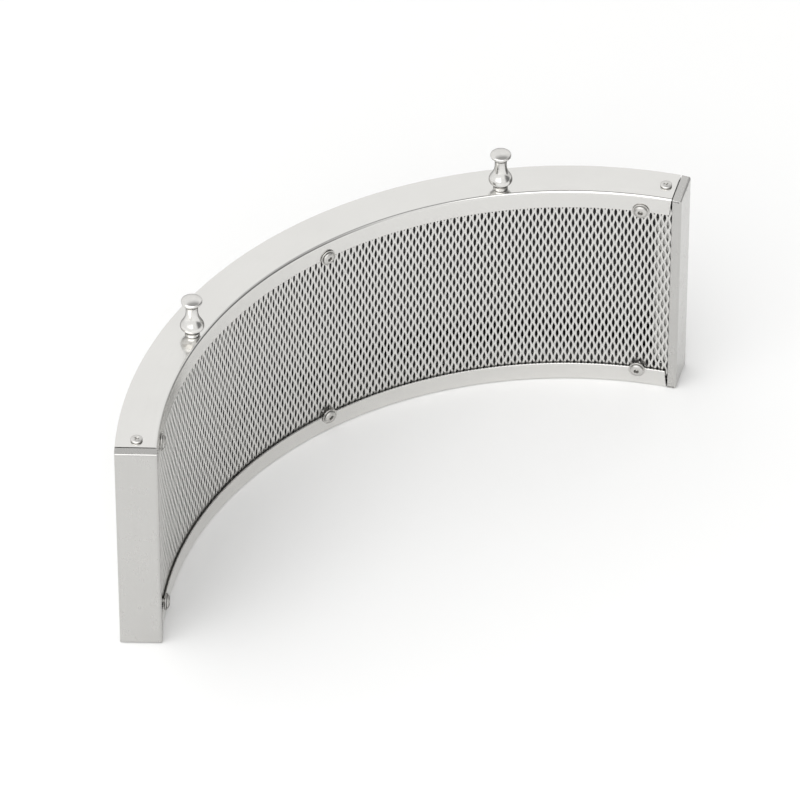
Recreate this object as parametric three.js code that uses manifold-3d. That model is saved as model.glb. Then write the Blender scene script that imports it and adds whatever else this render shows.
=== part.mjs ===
// A curved fireplace screen in brushed stainless steel: an arc-shaped box made of two rolled
// angles, whose narrow legs are the lips of its hollow side, a sheet round the back, an
// expanded-metal panel behind the lips, a folded cap at each end and two turned knobs on top.
// Millimetres, +Z up. The origin is on the surface the screen stands on, in the middle of its
// outline. The hollow side faces -Y, and +X is to the right for someone looking at it.
import * as THREE from "three";
import { mergeVertices } from "three/addons/utils/BufferGeometryUtils.js";
import Module from "manifold-3d";

const wasm = await Module();
wasm.setup();

// ---- driving dimensions ----
const HEIGHT = 160; // from the underside to the top, without the knobs
const R_IN = 260; // hollow side of the box, from the arc's centre
const DEPTH = 27; // of the box, front to back
const ARC = 103.5; // degrees between the seams of the two end caps
const SHEET = 1.2; // thickness of every folded or rolled sheet
const GAP = 0.3; // fitting gap between pieces that touch
const SEAM = 0.8; // open seam between a rail's wide leg and an end cap
const CAP = 6; // how far an end cap reaches along the arc
const LIP = 13.5; // height of each lip
const LIP_END_GAP = 0.9; // between a lip's end and the cap, at the fold
const LIP_SLANT = 1.3; // how much wider that gap is at the lip's free edge
const ARC_STEPS = 18; // curve divisions of an arc; three.js makes two facets of each
const ROUND_STEPS = 20; // facets round a turned piece

const MESH_THICK = 1.4;
const MESH_COVER = 5; // how far the expanded metal runs on behind each lip
const MESH_END_GAP = 0.6; // between its ends and the caps

const KNOB_INSET = 7.5; // knob axis from the hollow side
const KNOB_ANGLE = 27.3; // degrees either side of the middle
const RIVET_ANGLES = { left: -47.2, middle: 0, right: 47.2 };
const RIVET_FROM_EDGE = 12.5; // rivet axis from the top or bottom of the box
const END_SCREW_IN = 7.5; // end screw axis from the cap's seam
const SHANK = 1.9; // radius of an M4 thread
const CLEAR = 2.3; // radius of a clearance hole for it
const COUNTERSINK = 5.2; // radius of a countersink, 1 mm below the box
const END_SCREW_LENGTH = 11; // under the head
const KNOB_SCREW_LENGTH = 13;
const WASHER = { thick: 0.8, rivetRadius: 5.5, knobRadius: 4.5 };

const BRACKET_REACH = 9; // of the channel inside each end cap, either side of the box's middle
const BRACKET_TAB = 14; // how far its tabs reach under the rails
const BRACKET_FLANGE = 11; // how far its front flange reaches behind the expanded metal
const BRACKET_FLANGE_END = 20; // of that flange, from the top or bottom of the box

// ---- derived dimensions ----
const R_OUT = R_IN + DEPTH;
const R_MID = R_IN + DEPTH / 2;
const HALF_ARC = THREE.MathUtils.degToRad(ARC / 2);
const KNOB_R = R_IN + KNOB_INSET;
const MESH_R = R_IN + SHEET + GAP;
const MESH_BACK = MESH_R + MESH_THICK;
const MESH_LOW = LIP - MESH_COVER;
const INNER_TOP = HEIGHT - SHEET - GAP; // underside of the top rail, less the fitting gap
const INNER_LOW = SHEET + GAP;
const END_SCREW_ANGLE = ARC / 2 - THREE.MathUtils.radToDeg(Math.atan(END_SCREW_IN / R_MID));
const frontY = R_IN * Math.cos(HALF_ARC) - CAP * Math.sin(HALF_ARC);
const CENTRE_Y = -(R_OUT + frontY) / 2; // the arc's centre, with the outline's middle at y = 0

// ---- materials ----
const steel = (color, roughness) => new THREE.MeshStandardMaterial({ color, roughness, metalness: 1 });
const sheetSteel = () => steel(0xd6d5d0, 0.34);
const meshSteel = () => steel(0xdcdbd7, 0.4);
const knobSteel = () => steel(0xdedcd8, 0.16);
const fastenerSteel = () => steel(0xcfcec9, 0.26);

// ---- solids ----
// A closed geometry as a manifold solid: shared corners merged and collapsed triangles dropped.
function solid(geometry) {
  const bare = geometry.clone();
  bare.deleteAttribute("normal");
  bare.deleteAttribute("uv");
  const merged = mergeVertices(bare, 1e-4);
  const index = [...merged.index.array];
  const kept = [];
  for (let i = 0; i < index.length; i += 3) {
    const [a, b, c] = index.slice(i, i + 3);
    if (a !== b && b !== c && c !== a) kept.push(a, b, c);
  }
  const vertProperties = merged.attributes.position.array;
  return new wasm.Manifold(new wasm.Mesh({ numProp: 3, vertProperties, triVerts: new Uint32Array(kept) }));
}

function geometryOf(body) {
  const mesh = body.getMesh();
  const geometry = new THREE.BufferGeometry();
  geometry.setAttribute("position", new THREE.BufferAttribute(new Float32Array(mesh.vertProperties), 3));
  geometry.setIndex(new THREE.BufferAttribute(new Uint32Array(mesh.triVerts), 1));
  const flat = geometry.toNonIndexed();
  flat.computeVertexNormals();
  return flat;
}

const join = (first, ...others) => others.reduce((all, next) => all.add(next), first);
const cut = (body, ...tools) => tools.reduce((left, tool) => left.subtract(tool), body);

// A ring-shaped plan between two radii, trimmed by a length at each end, as a plate or strip.
function arcSolid(rInner, rOuter, low, high, endTrim) {
  const half = HALF_ARC - endTrim / R_MID;
  const shape = new THREE.Shape();
  shape.absarc(0, 0, rOuter, Math.PI / 2 - half, Math.PI / 2 + half, false);
  shape.absarc(0, 0, rInner, Math.PI / 2 + half, Math.PI / 2 - half, true);
  const options = { depth: high - low, bevelEnabled: false, curveSegments: ARC_STEPS };
  return solid(new THREE.ExtrudeGeometry(shape, options).translate(0, 0, low));
}

// A box between two corners.
function boxSolid([x0, y0, z0], [x1, y1, z1]) {
  const box = new THREE.BoxGeometry(Math.abs(x1 - x0), y1 - y0, z1 - z0);
  return solid(box.translate((x0 + x1) / 2, (y0 + y1) / 2, (z0 + z1) / 2));
}

// A turned solid about Z. The profile is radius and height, from the axis to the axis, or closed.
function turnedSolid(points, steps = ROUND_STEPS) {
  const profile = points.map(([r, z]) => new THREE.Vector2(r, z));
  const turned = new THREE.LatheGeometry(profile, steps).rotateX(Math.PI / 2);
  return solid(turned);
}

const pinSolid = (radius, low, high, steps) =>
  turnedSolid([[0, low], [radius, low], [radius, high], [0, high]], steps);

// Turns a solid built at the middle of the arc round to an angle in degrees, + to the right.
const atAngle = (body, degrees) => body.rotate([0, 0, -degrees]);

// An upright hole through a plate at a radius and angle.
const uprightHole = (radius, atRadius, degrees) =>
  atAngle(pinSolid(radius, -1, HEIGHT + 1).translate([0, atRadius, 0]), degrees);

// A radial hole for a rivet, through a lip and the expanded metal.
function rivetHole(degrees, height) {
  const pin = pinSolid(CLEAR, -2 * SHEET, 2 * (SHEET + MESH_THICK)).rotate([-90, 0, 0]);
  return atAngle(pin.translate([0, R_IN, height]), degrees);
}

// ---- curved pieces of the box ----
// A wedge that slants a lip's end. side is -1 at the left end and 1 at the right.
function lipEndWedge(side, isTop) {
  const fold = isTop ? HEIGHT - SHEET : SHEET;
  const freeEdge = isTop ? HEIGHT - LIP : LIP;
  const corners = [[-LIP_END_GAP, fold], [-LIP_END_GAP - LIP_SLANT, freeEdge], [1, freeEdge], [1, fold]];
  const shape = new THREE.Shape(corners.map(([x, z]) => new THREE.Vector2(side * x, z)));
  const wedge = new THREE.ExtrudeGeometry(shape, { depth: 3 * SHEET, bevelEnabled: false });
  wedge.rotateX(Math.PI / 2).translate(0, R_IN + 2 * SHEET, 0);
  return atAngle(solid(wedge), (side * ARC) / 2);
}

// A rail is a rolled angle. Its wide leg is the top or bottom of the box, and its narrow leg is a
// lip, notched where each rivet passes.
function rail(isTop) {
  const wideLow = isTop ? HEIGHT - SHEET : 0;
  const lipLow = isTop ? HEIGHT - LIP : 0;
  const rivetZ = isTop ? HEIGHT - RIVET_FROM_EDGE : RIVET_FROM_EDGE;
  const body = join(
    arcSolid(R_IN, R_OUT, wideLow, wideLow + SHEET, SEAM),
    arcSolid(R_IN, R_IN + SHEET, lipLow, lipLow + LIP, LIP_END_GAP),
  );
  const screwHoles = [-END_SCREW_ANGLE, END_SCREW_ANGLE].map((a) => uprightHole(CLEAR, R_MID, a));
  const notches = Object.values(RIVET_ANGLES).map((a) => rivetHole(a, rivetZ));
  const wedges = [-1, 1].map((side) => lipEndWedge(side, isTop));
  return cut(body, ...screwHoles, ...notches, ...wedges);
}

function topRail() {
  return cut(rail(true), ...[-KNOB_ANGLE, KNOB_ANGLE].map((a) => uprightHole(CLEAR, KNOB_R, a)));
}

// The bottom rail's holes are countersunk, so that it stands flat.
function bottomRail() {
  const profile = [[0, -1], [COUNTERSINK, -1], [CLEAR, 2], [0, 2]];
  const sink = turnedSolid(profile).translate([0, R_MID, 0]);
  return cut(rail(false), atAngle(sink, END_SCREW_ANGLE), atAngle(sink, -END_SCREW_ANGLE));
}

// The back is one rolled sheet, welded along both edges to the rails.
const backSheet = () => arcSolid(R_OUT - SHEET, R_OUT, INNER_LOW, INNER_TOP, SEAM);

// The expanded metal as one sheet of its overall thickness, drilled for the rivets.
function meshPanel() {
  const body = arcSolid(MESH_R, MESH_BACK, MESH_LOW, HEIGHT - MESH_LOW, MESH_END_GAP);
  const heights = [RIVET_FROM_EDGE, HEIGHT - RIVET_FROM_EDGE];
  const holes = Object.values(RIVET_ANGLES).flatMap((a) => heights.map((z) => rivetHole(a, z)));
  return cut(body, ...holes);
}

// ---- end pieces, built at the end of the arc: Y is outwards from the centre, X along the arc ----
// A folded tray, open towards the arc.
function endCap(side) {
  const tray = boxSolid([0, R_IN, 0], [side * CAP, R_OUT, HEIGHT]);
  const pocketEnd = side * (CAP - SHEET);
  return cut(tray, boxSolid([-side, R_IN + SHEET, SHEET], [pocketEnd, R_OUT - SHEET, HEIGHT - SHEET]));
}

// A channel inside the cap, with a tab under each rail for the end screws and a flange behind the
// expanded metal's end.
function endBracket(side) {
  const back = side * (CAP - SHEET - GAP);
  const face = back - side * SHEET;
  const tabEnd = -side * BRACKET_TAB;
  const tabFront = R_MID - BRACKET_REACH;
  const rear = R_MID + BRACKET_REACH;
  const front = MESH_BACK + GAP;
  const low = INNER_LOW + SHEET + GAP;
  const high = INNER_TOP - SHEET - GAP;
  const flangeHigh = HEIGHT - BRACKET_FLANGE_END;
  const channel = join(
    boxSolid([face, front, low], [back, rear, high]),
    boxSolid([tabEnd, tabFront, low], [back, rear, low + SHEET]),
    boxSolid([tabEnd, tabFront, high - SHEET], [back, rear, high]),
    boxSolid([-side * BRACKET_FLANGE, front, BRACKET_FLANGE_END], [back, front + SHEET, flangeHigh]),
  );
  return cut(channel, pinSolid(CLEAR, -1, HEIGHT + 1).translate([-side * END_SCREW_IN, R_MID, 0]));
}

// ---- turned pieces ----
// Each pair is a radius and a height above the rail.
const KNOB = {
  foot: [4.8, 2.6],
  rim: [7.4, 6.0], // lower edge of the body
  belly: [7.7, 7.2],
  neck: [3.9, 19.6],
  collar: [5.5, 24.9],
  crease: [4.9, 25.4],
  cap: [6.8, 27.3], // widest radius of the domed cap
  top: 28.9,
  boreDepth: 11,
};

function knob() {
  const outline = new THREE.Path();
  const [neckR, neckZ] = KNOB.neck;
  const [bellyR, bellyZ] = KNOB.belly;
  const [capR, capZ] = KNOB.cap;
  outline.moveTo(0, KNOB.boreDepth);
  outline.lineTo(CLEAR, KNOB.boreDepth);
  outline.lineTo(CLEAR, 0);
  outline.lineTo(KNOB.foot[0], 0);
  outline.lineTo(...KNOB.foot);
  outline.lineTo(...KNOB.rim);
  outline.lineTo(...KNOB.belly);
  outline.bezierCurveTo(bellyR, bellyZ + 3.4, neckR, neckZ - 7.6, neckR, neckZ);
  outline.bezierCurveTo(neckR, neckZ + 3, neckR + 0.5, KNOB.collar[1] - 1, ...KNOB.collar);
  outline.lineTo(...KNOB.crease);
  outline.lineTo(capR, capZ - 0.9);
  outline.lineTo(capR, capZ);
  outline.absellipse(0, capZ, capR, KNOB.top - capZ, 0, Math.PI / 2, false, 0);
  const points = outline.getPoints(5).map(({ x, y }) => [Math.max(x, 0), y]);
  points[points.length - 1][0] = 0;
  return turnedSolid(points);
}

const washer = (outer) =>
  turnedSolid([[CLEAR, 0], [outer, 0], [outer, WASHER.thick], [CLEAR, WASHER.thick], [CLEAR, 0]]);

const RECESS = { width: 0.9, span: 4, depth: 1.1 }; // cross recess of every screw

// Two crossed slots, for a screwdriver, from a head's face downwards.
function crossRecess(face, above) {
  const { width, span, depth } = RECESS;
  const [low, high] = [face - depth, face + above];
  return join(
    boxSolid([-span / 2, -width / 2, low], [span / 2, width / 2, high]),
    boxSolid([-width / 2, -span / 2, low], [width / 2, span / 2, high]),
  );
}

const PAN = { radius: 3.8, height: 1.6 };
const TIP = { inset: 0.5, length: 0.7 }; // chamfer at the end of every screw

// A pan-head screw: the head sits on z = 0 and the shank hangs below it.
function panScrew(length) {
  const { radius, height } = PAN;
  const body = turnedSolid([
    [0, -length], [SHANK - TIP.inset, -length], [SHANK, TIP.length - length], [SHANK, 0],
    [radius, 0], [radius, height * 0.4], [radius * 0.86, height * 0.8], [radius * 0.55, height], [0, height],
  ]);
  return cut(body, crossRecess(height, 1));
}

// A countersunk screw: its head starts just inside z = 0 and its shank points up.
function flatScrew(length) {
  const [headLow, headHigh] = [0.1, 2];
  const body = turnedSolid([
    [0, headLow], [PAN.radius, headLow], [SHANK, headHigh], [SHANK, length - TIP.length],
    [SHANK - TIP.inset, length], [0, length],
  ]);
  return cut(body, crossRecess(headLow + RECESS.depth, 0));
}

const RIVET = { head: 4.45, rise: 1.5, hole: 1.5, holeDepth: 2.6, blind: 3.4, blindLength: 3.4 };

// A blind rivet: domed head with the open hole of its pulled stem, and the bulb formed behind.
// z = 0 is the washer's front face, and the head is above it.
function rivet() {
  const grip = GAP + WASHER.thick + GAP + SHEET + GAP + MESH_THICK + GAP;
  const end = -grip - RIVET.blindLength;
  return turnedSolid([
    [0, end], [RIVET.blind * 0.7, end], [RIVET.blind, end + 1], [RIVET.blind, -grip - 0.8],
    [RIVET.blind * 0.8, -grip], [SHANK, -grip], [SHANK, GAP],
    [RIVET.head, GAP], [RIVET.head * 0.97, GAP + 0.5], [RIVET.head * 0.72, GAP + RIVET.rise * 0.8],
    [RIVET.hole + 0.3, GAP + RIVET.rise], [RIVET.hole, GAP + RIVET.rise - 0.3],
    [RIVET.hole, GAP + RIVET.rise - RIVET.holeDepth], [0, GAP + RIVET.rise - RIVET.holeDepth],
  ]);
}

// ---- assembly ----
const screen = new THREE.Group();
const arc = new THREE.Group(); // its origin is the arc's centre
arc.position.y = CENTRE_Y;
screen.add(arc);

function piece(name, body, material, parent = arc) {
  const mesh = new THREE.Mesh(geometryOf(body), material);
  mesh.name = name;
  parent.add(mesh);
  return mesh;
}

// A group turned to an angle along the arc, in degrees.
function station(degrees) {
  const group = new THREE.Group();
  group.rotation.z = THREE.MathUtils.degToRad(-degrees);
  arc.add(group);
  return group;
}

piece("back_sheet", backSheet(), sheetSteel());
piece("top_rail", topRail(), sheetSteel());
piece("bottom_rail", bottomRail(), sheetSteel());
piece("mesh_panel", meshPanel(), meshSteel());

for (const [label, side] of [["left", -1], ["right", 1]]) {
  const end = station((side * ARC) / 2);
  piece(`${label}_end_cap`, endCap(side), sheetSteel(), end);
  piece(`${label}_end_bracket`, endBracket(side), sheetSteel(), end);

  const topScrew = piece(`${label}_top_screw`, panScrew(END_SCREW_LENGTH), fastenerSteel(), end);
  topScrew.position.set(-side * END_SCREW_IN, R_MID, HEIGHT + GAP);
  const bottomScrew = piece(`${label}_bottom_screw`, flatScrew(END_SCREW_LENGTH), fastenerSteel(), end);
  bottomScrew.position.set(-side * END_SCREW_IN, R_MID, 0);

  const post = station(side * KNOB_ANGLE);
  piece(`${label}_knob`, knob(), knobSteel(), post).position.set(0, KNOB_R, HEIGHT + GAP);
  const washerLow = INNER_TOP - WASHER.thick; // the washer lies under the top rail
  const ring = piece(`${label}_knob_washer`, washer(WASHER.knobRadius), fastenerSteel(), post);
  ring.position.set(0, KNOB_R, washerLow);
  const knobScrew = piece(`${label}_knob_screw`, panScrew(KNOB_SCREW_LENGTH), fastenerSteel(), post);
  knobScrew.position.set(0, KNOB_R, washerLow - GAP);
  knobScrew.rotation.x = Math.PI;
}

for (const [label, degrees] of Object.entries(RIVET_ANGLES)) {
  for (const [level, height] of [["upper", HEIGHT - RIVET_FROM_EDGE], ["lower", RIVET_FROM_EDGE]]) {
    const spot = station(degrees);
    const ring = piece(`${level}_${label}_washer`, washer(WASHER.rivetRadius), fastenerSteel(), spot);
    ring.position.set(0, R_IN - GAP, height);
    ring.rotation.x = Math.PI / 2; // faces the arc's centre
    const pin = piece(`${level}_${label}_rivet`, rivet(), fastenerSteel(), spot);
    pin.position.set(0, R_IN - GAP - WASHER.thick, height);
    pin.rotation.x = Math.PI / 2;
  }
}

export default screen;
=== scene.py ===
"""A curved fireplace screen in brushed stainless steel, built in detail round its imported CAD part.

Lengths are millimetres until a point is placed, when arc_point() and the MM matrices turn them
into metres. The arc's centre is the origin of the polar places: a radius, an angle that grows to
the right from the middle of the screen, and a height.
"""

from math import cos, hypot, pi, radians, sin, tan

import bmesh
import bpy
from mathutils import Matrix, Vector

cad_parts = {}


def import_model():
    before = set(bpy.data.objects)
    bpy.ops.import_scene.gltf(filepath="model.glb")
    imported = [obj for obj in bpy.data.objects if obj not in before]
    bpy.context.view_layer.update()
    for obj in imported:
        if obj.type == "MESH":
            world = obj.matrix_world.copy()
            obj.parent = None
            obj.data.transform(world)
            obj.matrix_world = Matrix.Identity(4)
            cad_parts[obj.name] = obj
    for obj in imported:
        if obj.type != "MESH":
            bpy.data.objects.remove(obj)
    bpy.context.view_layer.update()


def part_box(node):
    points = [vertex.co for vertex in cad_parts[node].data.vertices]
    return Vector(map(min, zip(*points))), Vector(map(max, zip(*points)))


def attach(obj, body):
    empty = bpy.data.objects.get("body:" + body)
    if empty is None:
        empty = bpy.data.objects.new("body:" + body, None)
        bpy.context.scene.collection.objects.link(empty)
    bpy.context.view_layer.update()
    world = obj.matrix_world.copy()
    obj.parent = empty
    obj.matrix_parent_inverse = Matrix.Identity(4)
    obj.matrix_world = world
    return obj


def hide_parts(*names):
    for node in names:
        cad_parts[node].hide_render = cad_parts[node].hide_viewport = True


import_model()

# ---- sizes, in millimetres and radians ----
MM = 0.001


def cad_box(node):
    """Lowest and highest corner of a CAD node, in millimetres."""
    low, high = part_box(node)
    return low / MM, high / MM


HEIGHT = cad_box("top_rail")[1].z
R_IN = 260.0
DEPTH = 27.0
R_OUT = R_IN + DEPTH
R_MID = R_IN + DEPTH / 2
CENTRE_Y = cad_box("back_sheet")[1].y - R_OUT
HALF_ARC = radians(103.5 / 2)
SHEET = 1.2  # thickness of every folded or rolled sheet
GAP = 0.3  # fitting gap between pieces that touch
SEAM = 0.8  # open seam between a rail's wide leg and an end cap
CAP = 6.0  # how far an end cap reaches along the arc
LIP = 13.5  # height of each lip
LIP_END_GAP = 0.9  # between a lip's end and the cap, at the fold
LIP_SLANT = 1.3  # how much wider that gap is at the lip's free edge
BEND = 1.8  # outer radius of a folded corner
CAP_BEND = 1.5  # the same, of an end cap's folds
FLANGE_SLOPE = 0.08  # springback of a cap's top and bottom flanges
SHEARED = 0.18  # radius of a deburred sheet edge
LIP_EDGE = 0.5  # radius of a lip's free edge, which is dressed round

KNOB_R = R_IN + 7.5  # a knob's axis, from the arc's centre
KNOB_ANGLE = radians(27.3)
RIVET_ANGLES = {"left": -radians(47.2), "middle": 0.0, "right": radians(47.2)}
RIVET_FROM_EDGE = 12.5  # rivet axis from the top or bottom of the box
END_SCREW_IN = 7.5  # end screw axis from the cap's seam
SHANK = 1.9  # radius of an M4 thread
CLEAR = 2.3  # radius of a clearance hole for it
COUNTERSINK = 5.2  # radius of a countersink, 1 mm below the box
INNER_TOP = HEIGHT - SHEET - GAP  # underside of the top rail, less the fitting gap
INNER_LOW = SHEET + GAP
BRACKET_REACH = 9.0  # of the channel inside each end cap, either side of the box's middle
BRACKET_TAB = 14.0  # how far its tabs reach under the rails
BRACKET_FLANGE = 11.0  # how far its front flange reaches behind the expanded metal
BRACKET_FLANGE_END = 20.0  # of that flange, from the top or bottom of the box

MESH_LOW = LIP - 5.0  # the expanded metal runs on behind each lip
MESH_HIGH = HEIGHT - MESH_LOW
MESH_END_GAP = 0.6  # between its ends and the caps
MESH_THICK = 1.4
MESH_BACK = R_IN + SHEET + GAP + MESH_THICK
MESH_CENTRE_R = MESH_BACK - MESH_THICK / 2
STRAND_PITCH = 2.3  # half the width of a diamond
DIAMOND_HEIGHT = 10.4
STRAND_WIDTH = 1.36
STRAND_THICK = 0.5
STRAND_TILT = radians(4)  # a strand's turn out of the sheet, its right edge forward
BOND = 2.0  # height of the flat where two strands join


# ---- outlines ----
def rounded(points, radii, steps=4):
    """A closed outline, with each corner rounded by its own radius."""
    outline = []
    for i, (corner, radius) in enumerate(zip(points, radii)):
        here = Vector(corner)
        before = (Vector(points[i - 1]) - here).normalized()
        after = (Vector(points[(i + 1) % len(points)]) - here).normalized()
        if not radius:
            outline.append(here)
            continue
        half = before.angle(after) / 2
        centre = here + (before + after).normalized() * radius / sin(half)
        first = here + before * radius / tan(half) - centre
        turn = (pi - 2 * half) * (1 if before.cross(after) < 0 else -1)
        for k in range(steps + 1):
            angle = turn * k / steps
            outline.append(centre + Matrix.Rotation(angle, 2) @ first)
    return outline


def bezier(start, pull_a, pull_b, end, steps=14):
    """Points of a cubic curve after its start."""
    a, b, c, d = (Vector(p) for p in (start, pull_a, pull_b, end))
    curve = []
    for k in range(1, steps + 1):
        t = k / steps
        curve.append(a * (1 - t) ** 3 + b * 3 * t * (1 - t) ** 2 + c * 3 * t * t * (1 - t) + d * t ** 3)
    return curve


# ---- meshes ----
def arc_point(angle, radius, height):
    """A place on the screen, in metres in the row frame."""
    return Vector((radius * sin(angle), CENTRE_Y + radius * cos(angle), height)) * MM


def finished(bm, name, sharp=35):
    """Closes a bmesh into a smooth-shaded mesh whose edges over `sharp` degrees stay crisp."""
    bmesh.ops.recalc_face_normals(bm, faces=bm.faces)
    mesh = bpy.data.meshes.new(name)
    bm.to_mesh(mesh)
    bm.free()
    shade(mesh, sharp)
    return mesh


def shade(mesh, sharp=35):
    mesh.polygons.foreach_set("use_smooth", [True] * len(mesh.polygons))
    mesh.set_sharp_from_angle(angle=radians(sharp))


def swept(name, outline_at, angles):
    """A closed outline (radius, height) carried along the arc. outline_at gives it for an angle."""
    bm = bmesh.new()
    rings = [[bm.verts.new(arc_point(a, r, z)) for r, z in outline_at(a)] for a in angles]
    for near, far in zip(rings, rings[1:]):
        for i in range(len(near)):
            bm.faces.new((near[i - 1], near[i], far[i], far[i - 1]))
    bm.faces.new(rings[0])
    bm.faces.new(rings[-1][::-1])
    return finished(bm, name)


def turned(name, outline, steps=72):
    """An outline of (radius, height) turned about Z. It starts and ends on the axis, or is a ring."""
    bm = bmesh.new()
    rings = []
    for r, z in outline:
        if r < 1e-6:
            rings.append([bm.verts.new((0, 0, z * MM))])
        else:
            turns = (2 * pi * k / steps for k in range(steps))
            rings.append([bm.verts.new((r * cos(t) * MM, r * sin(t) * MM, z * MM)) for t in turns])
    is_ring = len(rings[0]) > 1
    pairs = zip(rings, rings[1:] + rings[:1]) if is_ring else zip(rings, rings[1:])
    for near, far in pairs:
        for k in range(steps):
            loop = [near[k - 1], near[k], far[k], far[k - 1]] if len(near) > 1 and len(far) > 1 else (
                [near[0], far[k], far[k - 1]] if len(near) == 1 else [near[k - 1], near[k], far[0]])
            bm.faces.new(loop)
    return finished(bm, name)


def extruded(outline, place, start, end):
    """A closed outline of pairs drawn out from start to end; place(a, b, along) gives a point in mm."""
    bm = bmesh.new()
    rings = [[bm.verts.new(Vector(place(a, b, along)) * MM) for a, b in outline] for along in (start, end)]
    for i in range(len(outline)):
        bm.faces.new((rings[0][i - 1], rings[0][i], rings[1][i], rings[1][i - 1]))
    bm.faces.new(rings[0])
    bm.faces.new(rings[1][::-1])
    return finished(bm, "extruded")


def boxed(low, high):
    """A box between two corners, in millimetres, as a cutting tool."""
    bm = bmesh.new()
    bmesh.ops.create_cube(bm, size=1)
    low, high = Vector(low), Vector(high)
    for v in bm.verts:
        v.co = ((low + high) / 2 + Matrix.Diagonal(high - low) @ v.co) * MM
    return finished(bm, "tool")


def tapered_bar(length, width, tip_length, tip_width, top, bottom):
    """One arm of a cross recess: a bar that narrows downwards."""
    bm = bmesh.new()
    rings = []
    for z, half_l, half_w in ((top, length / 2, width / 2), (bottom, tip_length / 2, tip_width / 2)):
        corners = ((-half_l, -half_w), (half_l, -half_w), (half_l, half_w), (-half_l, half_w))
        rings.append([bm.verts.new(Vector((x, y, z)) * MM) for x, y in corners])
    for i in range(4):
        bm.faces.new((rings[0][i - 1], rings[0][i], rings[1][i], rings[1][i - 1]))
    bm.faces.new(rings[0])
    bm.faces.new(rings[1][::-1])
    return finished(bm, "tool")


def moved(mesh, matrix):
    """A copy of a mesh, carried by a matrix."""
    copy = mesh.copy()
    copy.transform(matrix)
    if matrix.determinant() < 0:
        copy.flip_normals()
    return copy


def cut(mesh, *tools, operation="DIFFERENCE"):
    """The mesh with every tool's shape taken out of it, or joined to it."""
    for tool in tools:
        body = bpy.data.objects.new("body", mesh)
        cutter = bpy.data.objects.new("cutter", tool)
        for obj in (body, cutter):
            bpy.context.scene.collection.objects.link(obj)
        boolean = body.modifiers.new("cut", "BOOLEAN")
        boolean.operation = operation
        boolean.solver = "EXACT"
        boolean.object = cutter
        evaluated = body.evaluated_get(bpy.context.evaluated_depsgraph_get())
        mesh = bpy.data.meshes.new_from_object(evaluated)
        for obj in (body, cutter):
            bpy.data.objects.remove(obj)
    shade(mesh)
    return mesh


def station(angle):
    """The frame at an angle along the arc: X along the arc, Y away from its centre, in metres."""
    return Matrix.Translation((0, CENTRE_Y * MM, 0)) @ Matrix.Rotation(-angle, 4, "Z")


def spot(x, y, z):
    return Matrix.Translation(Vector((x, y, z)) * MM)


# ---- materials ----
class Nodes:
    """A node tree with a few short ways to wire it."""

    def __init__(self, tree):
        self.tree = tree

    def node(self, kind, **settings):
        made = self.tree.nodes.new(kind)
        for key, value in settings.items():
            setattr(made, key, value)
        return made

    def feed(self, socket, value):
        if hasattr(value, "links"):
            self.tree.links.new(value, socket)
        else:
            socket.default_value = value

    def math(self, operation, a, b=0.0):
        made = self.node("ShaderNodeMath", operation=operation)
        self.feed(made.inputs[0], a)
        self.feed(made.inputs[1], b)
        return made.outputs[0]

    def toward(self, direction, wide, narrow):
        """0 outside a cone of half-angle `wide` degrees round a direction, 1 inside `narrow`."""
        dot = self.node("ShaderNodeVectorMath", operation="DOT_PRODUCT")
        self.feed(dot.inputs[0], self.place)
        dot.inputs[1].default_value = Vector(direction).normalized()
        made = self.between(dot.outputs["Value"], cos(radians(wide)), cos(radians(narrow)), 0, 1)
        made.node.interpolation_type = "SMOOTHSTEP"
        return made

    def polar(self):
        """Metres along the arc, metres from its centre, and height."""
        split = self.node("ShaderNodeSeparateXYZ")
        self.feed(split.inputs[0], self.place)
        x, y, z = split.outputs
        out = self.math("SUBTRACT", y, CENTRE_Y * MM)
        angle = self.math("ARCTAN2", x, out)
        square = self.math("ADD", self.math("MULTIPLY", x, x), self.math("MULTIPLY", out, out))
        joined = self.node("ShaderNodeCombineXYZ")
        self.feed(joined.inputs[0], self.math("MULTIPLY", angle, R_MID * MM))
        self.feed(joined.inputs[1], self.math("SQRT", square))
        self.feed(joined.inputs[2], z)
        return joined.outputs[0]

    def noise(self, place, scale, detail=3.0, roughness=0.55, stretch=(1, 1, 1)):
        """Noise whose features are 1/scale metres wide, drawn out along an axis by `stretch`."""
        mapped = self.node("ShaderNodeMapping")
        self.feed(mapped.inputs["Vector"], place)
        mapped.inputs["Scale"].default_value = [1 / s for s in stretch]
        made = self.node("ShaderNodeTexNoise")
        self.feed(made.inputs["Vector"], mapped.outputs[0])
        made.inputs["Scale"].default_value = scale
        made.inputs["Detail"].default_value = detail
        made.inputs["Roughness"].default_value = roughness
        return made.outputs["Fac"]

    def between(self, value, low, high, out_low, out_high):
        """The value's range low..high spread over out_low..out_high."""
        made = self.node("ShaderNodeMapRange", clamp=True)
        self.feed(made.inputs["Value"], value)
        made.inputs["From Min"].default_value = low
        made.inputs["From Max"].default_value = high
        made.inputs["To Min"].default_value = out_low
        made.inputs["To Max"].default_value = out_high
        return made.outputs[0]

    def tint(self, fac, dark, light):
        made = self.node("ShaderNodeMix", data_type="RGBA")
        self.feed(made.inputs["Factor"], fac)
        made.inputs["A"].default_value = (*dark, 1)
        made.inputs["B"].default_value = (*light, 1)
        return made.outputs["Result"]

    def blend(self, fac, a, b):
        made = self.node("ShaderNodeMix", data_type="RGBA")
        self.feed(made.inputs["Factor"], fac)
        self.feed(made.inputs["A"], a)
        self.feed(made.inputs["B"], b)
        return made.outputs["Result"]


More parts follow.
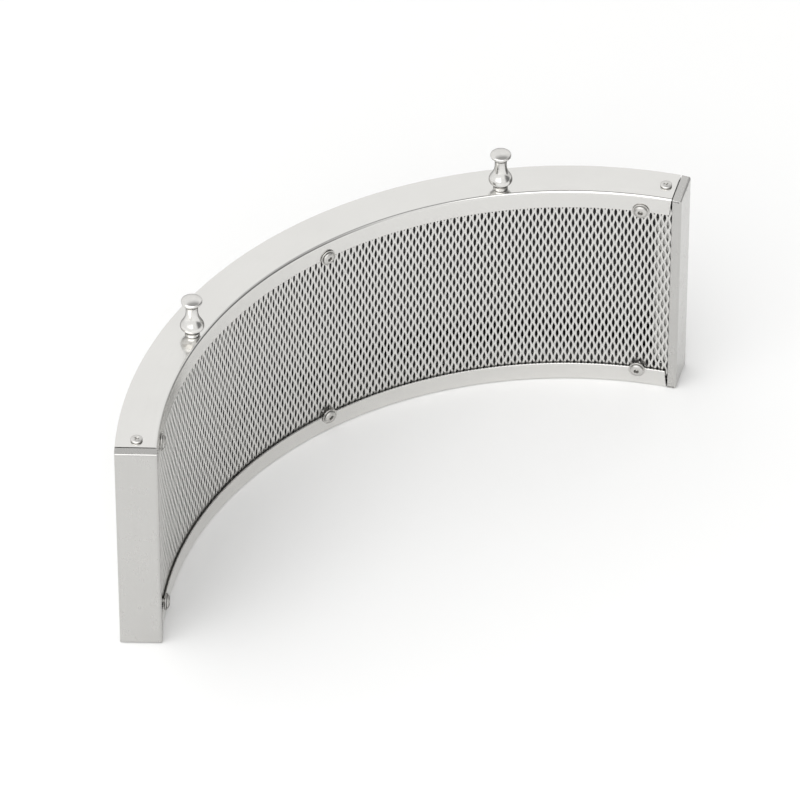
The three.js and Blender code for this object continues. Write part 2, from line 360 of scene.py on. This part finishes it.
class Surface(Nodes):
    """A Principled material. Its object coordinates are metres in the screen's own frame."""

    def __init__(self, name, color, roughness, metallic=1.0):
        self.material = bpy.data.materials.new(name)
        self.material.use_nodes = True
        super().__init__(self.material.node_tree)
        self.shader = self.tree.nodes["Principled BSDF"]
        self.shader.inputs["Metallic"].default_value = metallic
        self.shader.inputs["Base Color"].default_value = (*color, 1)
        self.shader.inputs["Roughness"].default_value = roughness
        self.place = self.node("ShaderNodeTexCoord").outputs["Object"]

    def painted_edge_mask(self):
        """1 on narrow faces such as folded corners and sheared edges, or on the strands' cut sides, from the
        mesh's attribute: the faces whose colour is painted darker or lighter, a painted shade or highlight.
        """
        return self.node("ShaderNodeAttribute", attribute_name="painted_edge_mask").outputs["Fac"]

    def color(self, value):
        self.feed(self.shader.inputs["Base Color"], value)

    def rough(self, value):
        self.feed(self.shader.inputs["Roughness"], value)

    def bump(self, *layers):
        """Layers are (height, depth in metres)."""
        normal = None
        for height, depth in layers:
            made = self.node("ShaderNodeBump")
            made.inputs["Strength"].default_value = 1.0
            made.inputs["Distance"].default_value = depth
            self.feed(made.inputs["Height"], height)
            if normal:
                self.feed(made.inputs["Normal"], normal)
            normal = made.outputs[0]
        self.feed(self.shader.inputs["Normal"], normal)


def scaled(color, factor):
    return tuple(c * factor for c in color)


def brushed(name, color, roughness, grain, inside=None, painted_lip_shade=False):
    """Sheet steel, finely brushed along one axis. grain is how far the lines run on each axis."""
    s = Surface(name, color, roughness)
    at = s.polar()
    fine = s.noise(at, 3600, 3, 0.6, grain)
    streak = s.noise(at, 900, 4, 0.6, grain)
    cloud = s.noise(at, 22, 3, 0.5)
    smudge = s.noise(at, 75, 5, 0.65)
    # folds and sheared edges are painted a little darker, in patches: a painted shade that dims their
    # reflections; they are also a little less rough
    edge_shade_mask = s.math("MULTIPLY", s.painted_edge_mask(), s.between(s.noise(at, 160, 4), 0.3, 0.6, 0.35, 1))
    grainy = s.tint(s.between(streak, 0.3, 0.7, 0, 1), scaled(color, 0.98), scaled(color, 1.01))
    clouded = s.blend(s.between(cloud, 0.35, 0.65, 0, 0.5), grainy, (*scaled(color, 0.95), 1))
    marked = s.blend(s.between(smudge, 0.6, 0.8, 0, 0.3), clouded, (*scaled(color, 0.9), 1))
    with_edge_shade = s.blend(edge_shade_mask, marked, (*scaled(color, 0.93), 1))
    base_rough = s.math("ADD", s.between(streak, 0.25, 0.75, -0.02, 0.02),
                        s.between(smudge, 0.4, 0.75, roughness, roughness + 0.06))
    s.rough(s.math("SUBTRACT", base_rough, s.math("MULTIPLY", edge_shade_mask, 0.04)))
    s.bump((fine, 0.000004), (streak, 0.000006), (s.noise(at, 14, 2), 0.00012))
    if inside:
        # the inner face is painted near black and not metallic, so that the holes in the expanded metal look
        # black
        split = s.node("ShaderNodeSeparateXYZ")
        s.feed(split.inputs[0], s.polar())
        near_black_inner_face = s.between(split.outputs[1], inside[0] * MM, inside[1] * MM, 1, 0)
        s.color(s.blend(near_black_inner_face, with_edge_shade, (0.012, 0.012, 0.012, 1)))
        s.feed(s.shader.inputs["Metallic"], s.math("SUBTRACT", 1.0, near_black_inner_face))
    elif painted_lip_shade:
        # the lips' faces are painted darker than the flat plates, a painted shade
        split = s.node("ShaderNodeSeparateXYZ")
        s.feed(split.inputs[0], s.polar())
        lip = s.between(split.outputs[1], (R_IN + 0.3) * MM, (R_IN + 1.2) * MM, 0.9, 0)
        s.color(s.blend(lip, with_edge_shade, (*scaled(color, LIP_PAINTED_SHADE), 1)))
    else:
        s.color(with_edge_shade)
    return s.material


def cut_metal(name, color, roughness):
    """Expanded metal: rolled faces, the strands' cut sides painted lighter as a painted highlight, and small
    tool marks.
    """
    s = Surface(name, color, roughness)
    at = s.polar()
    rolled = s.noise(at, 900, 3, 0.6, (1, 1, 6))
    sheared = s.noise(at, 2600, 3, 0.6, (1, 6, 1))
    cloud = s.noise(at, 20, 3, 0.5)
    patch = s.noise(at, 420, 3)
    toned = s.tint(s.between(patch, 0.3, 0.7, 0, 1), scaled(color, 0.86), scaled(color, 1.05))
    clouded = s.blend(s.between(cloud, 0.35, 0.65, 0, 0.3), toned, (*scaled(color, 0.9), 1))
    # the strands' cut sides are painted much lighter: a painted highlight
    s.color(s.blend(s.painted_edge_mask(), clouded, (*scaled(color, 1.28), 1)))
    s.rough(s.between(rolled, 0.25, 0.75, roughness - 0.06, roughness + 0.08))
    s.bump((sheared, 0.00003), (rolled, 0.00003))
    return s.material


def polished(name, color, roughness, rings=1400):
    """Turned and polished: fine rings left by the tool, faint finger marks, and outlines painted darker as a
    painted shade.
    """
    s = Surface(name, color, roughness)
    split = s.node("ShaderNodeSeparateXYZ")
    s.feed(split.inputs[0], s.place)
    joined = s.node("ShaderNodeCombineXYZ")
    s.feed(joined.inputs[2], split.outputs[2])
    ring = s.noise(joined.outputs[0], rings, 3, 0.6)
    haze = s.noise(s.place, 190, 4, 0.6)
    scratch = s.noise(s.place, 900, 3, 0.6, (1, 1, 4))
    toned = s.tint(s.between(haze, 0.3, 0.75, 0, 1), scaled(color, 1.03), scaled(color, 0.92))
    lined = s.blend(s.between(ring, 0.5, 0.7, 0, 0.25), toned, (*scaled(color, 0.85), 1))
    # the colour darkens where the surface turns away from view: a painted shade along the outlines
    facing_for_painted_shade = s.node("ShaderNodeLayerWeight")
    facing_for_painted_shade.inputs["Blend"].default_value = 0.5
    rim = s.between(facing_for_painted_shade.outputs["Facing"], 0.55, 0.95, 0, 0.4)
    s.color(s.blend(rim, lined, (*scaled(color, 0.12), 1)))
    s.rough(s.math("ADD", s.between(haze, 0.35, 0.75, roughness, roughness + 0.1),
                   s.between(ring, 0.3, 0.7, -0.02, 0.04)))
    s.bump((ring, 0.00002), (scratch, 0.000008))
    s.shader.inputs["Specular Tint"].default_value = (0.35, 0.35, 0.35, 1)
    return s.material


STEEL = (0.78, 0.772, 0.752)
ALONG_ARC = (30, 1, 1)
UPRIGHT = (1, 1, 30)
LIP_PAINTED_SHADE = 0.93  # how light the lips are painted beside the flat plates, a painted shade
rail_steel = brushed("rail_steel", STEEL, 0.15, ALONG_ARC, painted_lip_shade=True)
back_steel = brushed("back_steel", STEEL, 0.2, ALONG_ARC, inside=(R_OUT - 0.7, R_OUT - 0.4))
# the end caps' steel is painted darker than the rails', a painted shade
cap_steel_painted_shade = brushed("cap_steel_painted_shade", scaled(STEEL, 0.73), 0.24, UPRIGHT)
# the brackets' steel is painted dark, a painted shade that makes the seams into the caps look black
bracket_steel = brushed("bracket_steel", scaled(STEEL, 0.6), 0.42, UPRIGHT)
mesh_steel = cut_metal("mesh_steel", scaled(STEEL, 0.98), 0.34)
knob_steel = polished("knob_steel", (0.76, 0.75, 0.73), 0.12)
screw_steel = polished("screw_steel", (0.72, 0.71, 0.69), 0.3)
rivet_steel = polished("rivet_steel", (0.62, 0.61, 0.59), 0.34, 2200)


# ---- placing pieces ----
def mark_painted_edges(mesh, wide=0.9, narrow=0.35):
    """Stores how narrow each face is, so that the sheet materials can paint folds and edges a little darker,
    a painted shade.
    """
    layer = mesh.attributes.new("painted_edge_mask", "FLOAT", "FACE")
    values = []
    for face in mesh.polygons:
        longest = max((mesh.vertices[a].co - mesh.vertices[b].co).length for a, b in face.edge_keys)
        width = face.area / max(longest, 1e-9) / MM
        values.append(min(max((wide - width) / (wide - narrow), 0.0), 1.0))
    layer.data.foreach_set("value", values)


def piece(name, mesh, material, at=Matrix.Identity(4), replaces=None):
    obj = bpy.data.objects.new(name + "_detail", mesh)
    bpy.context.scene.collection.objects.link(obj)
    mesh.materials.clear()
    mesh.materials.append(material)
    if "painted_edge_mask" not in mesh.attributes:
        mark_painted_edges(mesh)
    obj.matrix_world = at
    weighted = obj.modifiers.new("flat faces stay flat", "WEIGHTED_NORMAL")
    weighted.keep_sharp = True
    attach(obj, "root")
    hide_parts(*(replaces or [name]))
    return obj


# ---- the curved sheets ----
def arc_angles(trim, steps=110):
    """Angles from end to end, short of each seam by a length."""
    half = HALF_ARC - trim / R_MID
    return [-half + 2 * half * k / steps for k in range(steps + 1)]


END_SCREWS = [(side * HALF_ARC, -side * END_SCREW_IN, R_MID) for side in (-1, 1)]
KNOB_SCREWS = [(side * KNOB_ANGLE, 0, KNOB_R) for side in (-1, 1)]


def rail_outline(lip, is_top):
    """A rolled angle's section, its wide leg flat and its narrow leg `lip` high."""
    corners = [(R_IN, lip), (R_IN, 0), (R_OUT, 0), (R_OUT, SHEET), (R_IN + SHEET, SHEET), (R_IN + SHEET, lip)]
    outline = rounded(corners, [LIP_EDGE, BEND, SHEARED * 1.5, SHEARED, BEND - SHEET, LIP_EDGE], 6)
    return [(r, HEIGHT - z) for r, z in outline] if is_top else outline


def lip_end_tool(side, is_top):
    """A wedge that cuts the lip's end back from the cap and slants it."""
    wedge = [(-LIP_END_GAP, SHEET), (-LIP_END_GAP - LIP_SLANT, LIP + 0.5), (2, LIP + 0.5), (2, SHEET)]

    def place(x, z, y):
        return side * x, y, HEIGHT - z if is_top else z

    return moved(extruded(wedge, place, R_IN - 2, R_IN + 2 * SHEET), station(side * HALF_ARC))


def rail(name, is_top):
    outline = rail_outline(LIP, is_top)
    mesh = swept(name, lambda a: outline, arc_angles(SEAM, 120))
    low, high = (HEIGHT - SHEET - 1, HEIGHT + 1) if is_top else (-1, SHEET + 1)
    hole = turned("tool", [(0, low), (CLEAR, low), (CLEAR, high), (0, high)], 48)
    places = END_SCREWS + (KNOB_SCREWS if is_top else [])
    tools = [moved(hole, station(angle) @ spot(x, radius, 0)) for angle, x, radius in places]
    notch = turned("tool", [(0, -3), (CLEAR, -3), (CLEAR, 3), (0, 3)], 40)
    rivet_height = HEIGHT - RIVET_FROM_EDGE if is_top else RIVET_FROM_EDGE
    tools += [moved(notch, station(a) @ spot(0, R_IN, rivet_height) @ Matrix.Rotation(pi / 2, 4, "X"))
              for a in RIVET_ANGLES.values()]
    tools += [lip_end_tool(side, is_top) for side in (-1, 1)]
    if not is_top:
        sink = turned("tool", [(0, -1), (COUNTERSINK, -1), (CLEAR, 2), (0, 2)], 64)
        tools += [moved(sink, station(a) @ spot(x, r, 0)) for a, x, r in END_SCREWS]
    return cut(mesh, *tools)


def back_sheet():
    corners = [(R_OUT, INNER_LOW), (R_OUT, INNER_TOP), (R_OUT - SHEET, INNER_TOP), (R_OUT - SHEET, INNER_LOW)]
    outline = rounded(corners, [SHEARED] * 4)
    return swept("back_sheet", lambda a: outline, arc_angles(SEAM))


# ---- the expanded metal ----
def wave(height):
    """+1 where a strand leans fully to the right, -1 to the left, flat at each, smooth between."""
    phase = (height / DIAMOND_HEIGHT) % 1.0
    folded = abs(phase - 0.5) * 2  # 1 at a whole diamond, 0 halfway
    flat = BOND / DIAMOND_HEIGHT
    t = min(max((folded - flat) / (1 - 2 * flat), 0.0), 1.0)
    return round(1.2 * t - 0.6 - 0.4 * cos(pi * t), 5)


def mesh_levels():
    """Heights of the rings of every strand: both ends of each flat, and steps between them."""
    half = DIAMOND_HEIGHT / 2
    middle = HEIGHT / 2
    slope = half - BOND
    levels = {MESH_LOW, MESH_HIGH}
    first = int((MESH_LOW - middle) / half) - 1
    last = int((MESH_HIGH - middle) / half) + 1
    for k in range(first, last + 1):
        for step in (BOND / 2, BOND / 2 + slope * 0.3, BOND / 2 + slope * 0.7, BOND / 2 + slope):
            level = middle + k * half + step
            if MESH_LOW + 0.3 < level < MESH_HIGH - 0.3:
                levels.add(round(level, 6))
    return sorted(levels)


def expanded_metal(name):
    """A lattice of zigzag strands, each a flat ribbon turned a little out of the sheet."""
    half_u = HALF_ARC * MESH_CENTRE_R - MESH_END_GAP
    count = round(2 * half_u / STRAND_PITCH)
    pitch = 2 * half_u / count
    levels = mesh_levels()
    across = Vector((cos(STRAND_TILT), sin(STRAND_TILT))) * STRAND_WIDTH / 2
    through = Vector((-sin(STRAND_TILT), cos(STRAND_TILT))) * STRAND_THICK / 2
    swing = pitch / 2 - across.x
    corners = (-across + through, across + through, across - through, -across - through)
    rivets = [(a * MESH_CENTRE_R, z) for a in RIVET_ANGLES.values()
              for z in (RIVET_FROM_EDGE, HEIGHT - RIVET_FROM_EDGE)]

    def leans(strand, row):
        """How far a strand leans at a row's lower and upper level."""
        return [wave(levels[r] - HEIGHT / 2) * (1 if strand % 2 else -1) for r in (row, row + 1)]

    def present(strand, row):
        """True unless a rivet's shank would run into this stretch of the strand."""
        middle = -half_u + (strand + 0.5) * pitch
        reach = abs(across.x) + abs(through.x)
        left = middle + swing * min(leans(strand, row)) - reach
        right = middle + swing * max(leans(strand, row)) + reach
        away = [(max(left - u, u - right, 0), max(levels[row] - z, z - levels[row + 1], 0))
                for u, z in rivets]
        return all(hypot(*apart) > SHANK + GAP for apart in away)

    bm = bmesh.new()
    shared = {}

    def corner(strand, row, k):
        lean = wave(levels[row] - HEIGHT / 2) * (1 if strand % 2 else -1)
        u = -half_u + (strand + 0.5) * pitch + swing * lean
        depth = -across.y * lean
        place = (round(u + corners[k].x, 5), levels[row], round(depth + corners[k].y, 5))
        if place not in shared:
            radius = MESH_CENTRE_R - place[2]
            shared[place] = bm.verts.new(arc_point(place[0] / MESH_CENTRE_R, radius, place[1]))
        return shared[place]

    def joined(strand, row):
        """True where this strand's right side lies on the next strand's left side."""
        return strand + 1 < count and min(leans(strand, row)) > 0.9999 and present(strand + 1, row)

    for strand in range(count):
        for row in range(len(levels) - 1):
            if not present(strand, row):
                continue
            low = [corner(strand, row, k) for k in range(4)]
            high = [corner(strand, row + 1, k) for k in range(4)]
            sides = {0, 2}
            if not joined(strand, row):
                sides.add(1)
            if strand == 0 or not (joined(strand - 1, row) and present(strand - 1, row)):
                sides.add(3)
            for k in sides:
                bm.faces.new((low[k], low[(k + 1) % 4], high[(k + 1) % 4], high[k]))
            if row == 0 or not present(strand, row - 1):
                bm.faces.new(low[::-1])
            if row == len(levels) - 2 or not present(strand, row + 1):
                bm.faces.new(high)
    mesh = finished(bm, name, 40)
    # marks the strands' cut sides, which the material paints lighter: a painted highlight
    painted_edge_mask = mesh.attributes.new("painted_edge_mask", "FLOAT", "FACE")
    values = []
    for face in mesh.polygons:
        out = Vector((face.center.x, face.center.y - CENTRE_Y * MM, 0)).normalized()
        values.append(1.0 if abs(face.normal.dot(out)) < 0.6 else 0.0)
    painted_edge_mask.data.foreach_set("value", values)
    return mesh


# ---- end caps and brackets, built with X outwards along the arc and Y from the arc's centre ----
def cap_mesh(name):
    """A folded tray, open towards the arc: a face with four flanges, slit where two flanges meet."""
    def block(low, high, fold, corner):
        """A box with its outer face's edges rounded by `fold` and its long corners by `corner`."""
        bm = bmesh.new()
        bmesh.ops.create_cube(bm, size=1)
        low, high = Vector(low), Vector(high)
        for v in bm.verts:
            place = (low + high) / 2 + Matrix.Diagonal(high - low) @ v.co
            place.z -= FLANGE_SLOPE * max(place.x, 0) * (1 if place.z > HEIGHT / 2 else -1)
            v.co = place * MM
        face_edges = [e for e in bm.edges if all(v.co.x > (high.x - 0.1) * MM for v in e.verts)]
        bmesh.ops.bevel(bm, geom=face_edges, offset=fold * MM, segments=6, profile=0.5, affect="EDGES")
        along = [e for e in bm.edges if abs(e.verts[0].co.x - e.verts[1].co.x) > (high.x - low.x) * MM * 0.3
                 and e.calc_face_angle(0) > 1]
        bmesh.ops.bevel(bm, geom=along, offset=corner * MM, segments=3, profile=0.5, affect="EDGES")
        return finished(bm, name)

    shell = block((0, R_IN, 0), (CAP, R_OUT, HEIGHT), CAP_BEND, 0.4)
    inner = (CAP - SHEET, R_OUT - SHEET, HEIGHT - SHEET)
    pocket = block((-2, R_IN + SHEET, SHEET), inner, CAP_BEND - SHEET, 0.1)
    slits = []
    for y0, y1 in ((R_IN - 1, R_IN + SHEET + 0.2), (R_OUT - SHEET - 0.2, R_OUT + 1)):
        for z in (SHEET + GAP / 2 + 0.05, HEIGHT - SHEET - GAP / 2 - 0.05):
            slits.append(boxed((-1, y0, z - GAP / 2), (CAP - CAP_BEND - 0.4, y1, z + GAP / 2)))
            slits.append(boxed((CAP - CAP_BEND - 0.9, y0, z - 0.45), (CAP - CAP_BEND - 0.1, y1, z + 0.45)))
    return cut(shell, pocket, *slits)


def bracket_mesh(name):
    """A channel inside the cap: a tab under each rail, and a flange behind the expanded metal."""
    back = CAP - SHEET - GAP
    low, high = INNER_LOW + SHEET + GAP, INNER_TOP - SHEET - GAP
    front, rear = MESH_BACK + GAP, R_MID + BRACKET_REACH
    corners = [(back, low), (back, high), (-BRACKET_TAB, high), (-BRACKET_TAB, high - SHEET),
               (back - SHEET, high - SHEET), (back - SHEET, low + SHEET), (-BRACKET_TAB, low + SHEET),
               (-BRACKET_TAB, low)]
    inner = BEND - SHEET
    outline = rounded(corners, [BEND, BEND, SHEARED, SHEARED, inner, inner, SHEARED, SHEARED], 5)
    channel = extruded([(x, z) for x, z in outline], lambda x, z, y: (x, y, z), front, rear)
    hole = turned("tool", [(0, -1), (CLEAR, -1), (CLEAR, HEIGHT), (0, HEIGHT)], 40)
    relief = [boxed((-BRACKET_TAB - 1, front - 1, z0), (back - BEND, R_MID - BRACKET_REACH, z1))
              for z0, z1 in ((low - 1, low + SHEET + 1), (high - SHEET - 1, high + 1))]
    channel = cut(channel, moved(hole, spot(-END_SCREW_IN, R_MID, 0)), *relief)
    overlap = front + BEND + 0.4  # how far the flange's piece runs into the channel
    fold = [(-BRACKET_FLANGE, front), (back, front), (back, overlap), (back - SHEET, overlap),
            (back - SHEET, front + SHEET), (-BRACKET_FLANGE, front + SHEET)]
    angle = extruded(rounded(fold, [SHEARED, BEND, 0, 0, inner, SHEARED], 5), lambda x, y, z: (x, y, z),
                     BRACKET_FLANGE_END, HEIGHT - BRACKET_FLANGE_END)
    return cut(channel, angle, operation="UNION")


# ---- turned pieces ----
BORE = 11.0  # depth of the screw's hole in a knob
WASHER_THICK = 0.8
RIVET_WASHER_R = 5.5
KNOB_WASHER_R = 4.5
PAN_R = 3.8
END_SCREW_LENGTH = 11.0  # under the head
KNOB_SCREW_LENGTH = 13.0


def knob_mesh(name):
    """A turned knob: foot, body with a crisp lower edge, neck, flared collar and domed cap."""
    foot, rim, belly = (4.8, 2.6), (7.4, 6.0), (7.7, 7.2)
    neck, collar, crease, cap, top = (3.9, 19.6), (5.5, 24.9), (4.9, 25.4), (6.8, 27.3), 28.9
    under = (cap[0] - 0.5, cap[1] - 1.2)
    outline = [(0, BORE + 1), (CLEAR, BORE), (CLEAR, 0.2), (CLEAR + 0.2, 0), (foot[0] - 0.2, 0),
               (foot[0], 0.2), (foot[0] - 0.15, foot[1] - 1)]
    outline += bezier(outline[-1], foot, (rim[0] - 1.6, rim[1] - 1), (rim[0] - 0.1, rim[1] - 0.08), 10)
    outline += [rim, (rim[0] + 0.06, rim[1] + 0.12)]
    outline += bezier(outline[-1], (rim[0] + 0.2, rim[1] + 0.5), (belly[0], belly[1] - 0.5), belly, 5)
    outline += bezier(belly, (belly[0], belly[1] + 3.4), (neck[0], neck[1] - 7.6), neck, 24)
    flare = (collar[0] - 0.12, collar[1] - 0.1)
    outline += bezier(neck, (neck[0], neck[1] + 3), (neck[0] + 0.5, collar[1] - 1), flare, 12)
    outline += [collar, (collar[0] - 0.12, collar[1] + 0.12)]
    outline += [crease, (crease[0] + 0.1, crease[1] + 0.1), under]
    outline += bezier(under, (cap[0] - 0.05, under[1] + 0.15), (cap[0], cap[1] - 0.6), cap, 8)
    quarter = [pi / 2 * k / 16 for k in range(1, 16)]
    outline += [(cap[0] * cos(t), cap[1] + (top - cap[1]) * sin(t)) for t in quarter]
    outline += [(0, top)]
    return turned(name, outline, 96)


def washer_mesh(name, outer):
    corners = [(CLEAR, 0), (outer, 0), (outer, WASHER_THICK), (CLEAR, WASHER_THICK)]
    return turned(name, rounded(corners, [0.1, 0.15, 0.22, 0.12], 3), 80)


def cross_recess(face, depth, span):
    """Tools for a cross recess: two bars that narrow downwards, and a cone where they meet."""
    bars = []
    for turn in (0, pi / 2):
        bar = tapered_bar(span + 0.8, 1.05, span * 0.45, 0.6, face + 0.6, face - depth)
        bars.append(moved(bar, Matrix.Rotation(turn, 4, "Z")))
    bottom = face - depth
    cone = [(0, face + 0.5), (span * 0.34, face + 0.5), (0.3, bottom), (0, bottom - 0.2)]
    return [*bars, turned("tool", cone, 24)]


def pan_screw_mesh(name, length):
    """A pan-head screw: the head sits on z = 0 and the shank hangs below it."""
    radius, height = PAN_R, 1.6
    outline = [(0, -length), (SHANK - 0.5, -length), (SHANK, 0.7 - length), (SHANK, 0), (radius - 0.15, 0),
               (radius, 0.15), (radius, height * 0.4)]
    outline += bezier(outline[-1], (radius, height * 0.8), (radius * 0.75, height), (0, height), 14)
    return cut(turned(name, outline), *cross_recess(height, 1.3, 3.8))


def flat_screw_mesh(name, length):
    """A countersunk screw whose head faces down, just inside the bottom plate."""
    outline = [(0, 0.1), (PAN_R - 0.1, 0.1), (PAN_R, 0.2), (PAN_R - 0.05, 0.32), (SHANK, 2),
               (SHANK, length - 0.7), (SHANK - 0.5, length), (0, length)]
    recess = [moved(tool, Matrix.Rotation(pi, 4, "X")) for tool in cross_recess(-0.1, 1.3, 3.2)]
    return cut(turned(name, outline), *recess)


def rivet_mesh(name):
    """A domed blind rivet with the stub of its stem. z = 0 is the washer's front face."""
    head, hole, bulb = 4.45, 1.6, 3.4
    top = GAP + 1.45
    grip = GAP + WASHER_THICK + GAP + SHEET + GAP + MESH_THICK + GAP
    end = -grip - 3.4
    outline = [(0, end), (bulb - 1.2, end), (bulb - 0.3, end + 0.4), (bulb, end + 1.2), (bulb, -grip - 0.8),
               (bulb - 0.7, -grip), (SHANK, -grip), (SHANK, GAP), (head - 0.1, GAP), (head, GAP + 0.12),
               (head, GAP + 0.3)]
    outline += bezier(outline[-1], (head * 0.94, GAP + 1.0), (head * 0.66, top), (hole + 0.35, top), 12)
    outline += [(hole + 0.1, top - 0.06), (hole, top - 0.25), (hole, GAP - 1.2)]
    outline += [(0.75, GAP - 1.25), (0.7, GAP + 0.1), (0.5, GAP + 0.25), (0, GAP + 0.2)]  # the stub
    return turned(name, outline, 64)


# ---- assembly ----
piece("top_rail", rail("top_rail", True), rail_steel)
piece("bottom_rail", rail("bottom_rail", False), rail_steel)
piece("back_sheet", back_sheet(), back_steel)
piece("mesh_panel", expanded_metal("mesh_panel"), mesh_steel)

cap = cap_mesh("end_cap")
bracket = bracket_mesh("end_bracket")
knob = knob_mesh("knob")
top_screw = pan_screw_mesh("top_screw", END_SCREW_LENGTH)
knob_screw = pan_screw_mesh("knob_screw", KNOB_SCREW_LENGTH)
bottom_screw = flat_screw_mesh("bottom_screw", END_SCREW_LENGTH)
ring = washer_mesh("washer", RIVET_WASHER_R)
collar_ring = washer_mesh("knob_washer", KNOB_WASHER_R)
rivet = rivet_mesh("rivet")
for label, side in (("left", -1), ("right", 1)):
    end = station(side * HALF_ARC)
    mirror = Matrix.Diagonal((side, 1, 1, 1))
    piece(f"{label}_end_cap", moved(cap, end @ mirror), cap_steel_painted_shade)
    piece(f"{label}_end_bracket", moved(bracket, end @ mirror), bracket_steel)
    turn = Matrix.Rotation(side * 0.5, 4, "Z")
    piece(f"{label}_top_screw", top_screw.copy(), screw_steel,
          end @ spot(-side * END_SCREW_IN, R_MID, HEIGHT + GAP) @ turn)
    piece(f"{label}_bottom_screw", bottom_screw.copy(), screw_steel,
          end @ spot(-side * END_SCREW_IN, R_MID, 0) @ turn)
    post = station(side * KNOB_ANGLE)
    under = spot(0, KNOB_R, INNER_TOP - WASHER_THICK)
    piece(f"{label}_knob", knob.copy(), knob_steel, post @ spot(0, KNOB_R, HEIGHT + GAP))
    piece(f"{label}_knob_washer", collar_ring.copy(), screw_steel, post @ under)
    piece(f"{label}_knob_screw", knob_screw.copy(), screw_steel,
          post @ under @ spot(0, 0, -GAP) @ Matrix.Rotation(pi, 4, "X"))

for label, angle in RIVET_ANGLES.items():
    for level, height in (("upper", HEIGHT - RIVET_FROM_EDGE), ("lower", RIVET_FROM_EDGE)):
        face = station(angle) @ spot(0, R_IN - GAP, height) @ Matrix.Rotation(pi / 2, 4, "X")
        piece(f"{level}_{label}_washer", ring.copy(), rivet_steel, face)
        piece(f"{level}_{label}_rivet", rivet.copy(), rivet_steel,
              face @ spot(0, 0, WASHER_THICK))


# ---- studio ----
def floor():
    bm = bmesh.new()
    bmesh.ops.create_grid(bm, x_segments=1, y_segments=1, size=12)
    obj = bpy.data.objects.new("studio_floor", finished(bm, "studio_floor"))
    bpy.context.scene.collection.objects.link(obj)
    s = Surface("studio_floor", (0.95, 0.95, 0.95), 0.9, 0.0)
    s.color(s.tint(s.noise(s.place, 3, 2), (0.945, 0.945, 0.942), (0.955, 0.955, 0.953)))
    obj.data.materials.append(s.material)


def area_light(name, place, target, size, power):
    light = bpy.data.lights.new(name, "AREA")
    light.shape = "RECTANGLE"
    light.size, light.size_y = size
    light.energy = power
    obj = bpy.data.objects.new(name, light)
    bpy.context.scene.collection.objects.link(obj)
    obj.location = place
    obj.rotation_euler = (Vector(target) - Vector(place)).to_track_quat("-Z", "Y").to_euler()
    return obj


def world():
    """A white room, darker overhead and to the front right, so that bends and knobs get contrast."""
    made = bpy.data.worlds.new("studio")
    made.use_nodes = True
    sky = Nodes(made.node_tree)
    sky.place = sky.node("ShaderNodeTexCoord").outputs["Generated"]
    background = made.node_tree.nodes["Background"]
    overhead = sky.math("MULTIPLY", sky.toward((0.25, 0.12, 0.95), 31, 13), 0.75)
    dim = sky.math("MAXIMUM", sky.toward((0.8, -0.5, 0.2), 52, 22), overhead)
    sky.feed(background.inputs["Color"], sky.tint(dim, (1.0, 1.0, 0.995), (0.2, 0.2, 0.2)))
    bpy.context.scene.world = made


def camera():
    """A long lens, so that the screen's upright edges stay nearly parallel."""
    azimuth, elevation, roll = radians(-36.64), radians(40.79), radians(-0.05)
    distance, aim = 5.024, Vector((0, -0.0395, 0.08))
    back = Vector((sin(azimuth) * cos(elevation), -cos(azimuth) * cos(elevation), sin(elevation)))
    right = Vector((cos(azimuth), sin(azimuth), 0))
    up = back.cross(right)
    tilted_right = right * cos(roll) + up * sin(roll)
    tilted_up = up * cos(roll) - right * sin(roll)
    data = bpy.data.cameras.new("camera")
    data.sensor_width = 36
    data.lens = 351.2
    data.clip_start, data.clip_end = 0.1, 100
    obj = bpy.data.objects.new("camera", data)
    bpy.context.scene.collection.objects.link(obj)
    obj.matrix_world = Matrix.Translation(aim + back * distance) @ Matrix(
        (tilted_right, tilted_up, back)).transposed().to_4x4()
    bpy.context.scene.camera = obj


floor()
world()
camera()
area_light("key", (-2.0, -1.0, 2.9), (0, 0, 0.1), (4.6, 4.6), 75)
bpy.context.scene.view_settings.view_transform = "Standard"
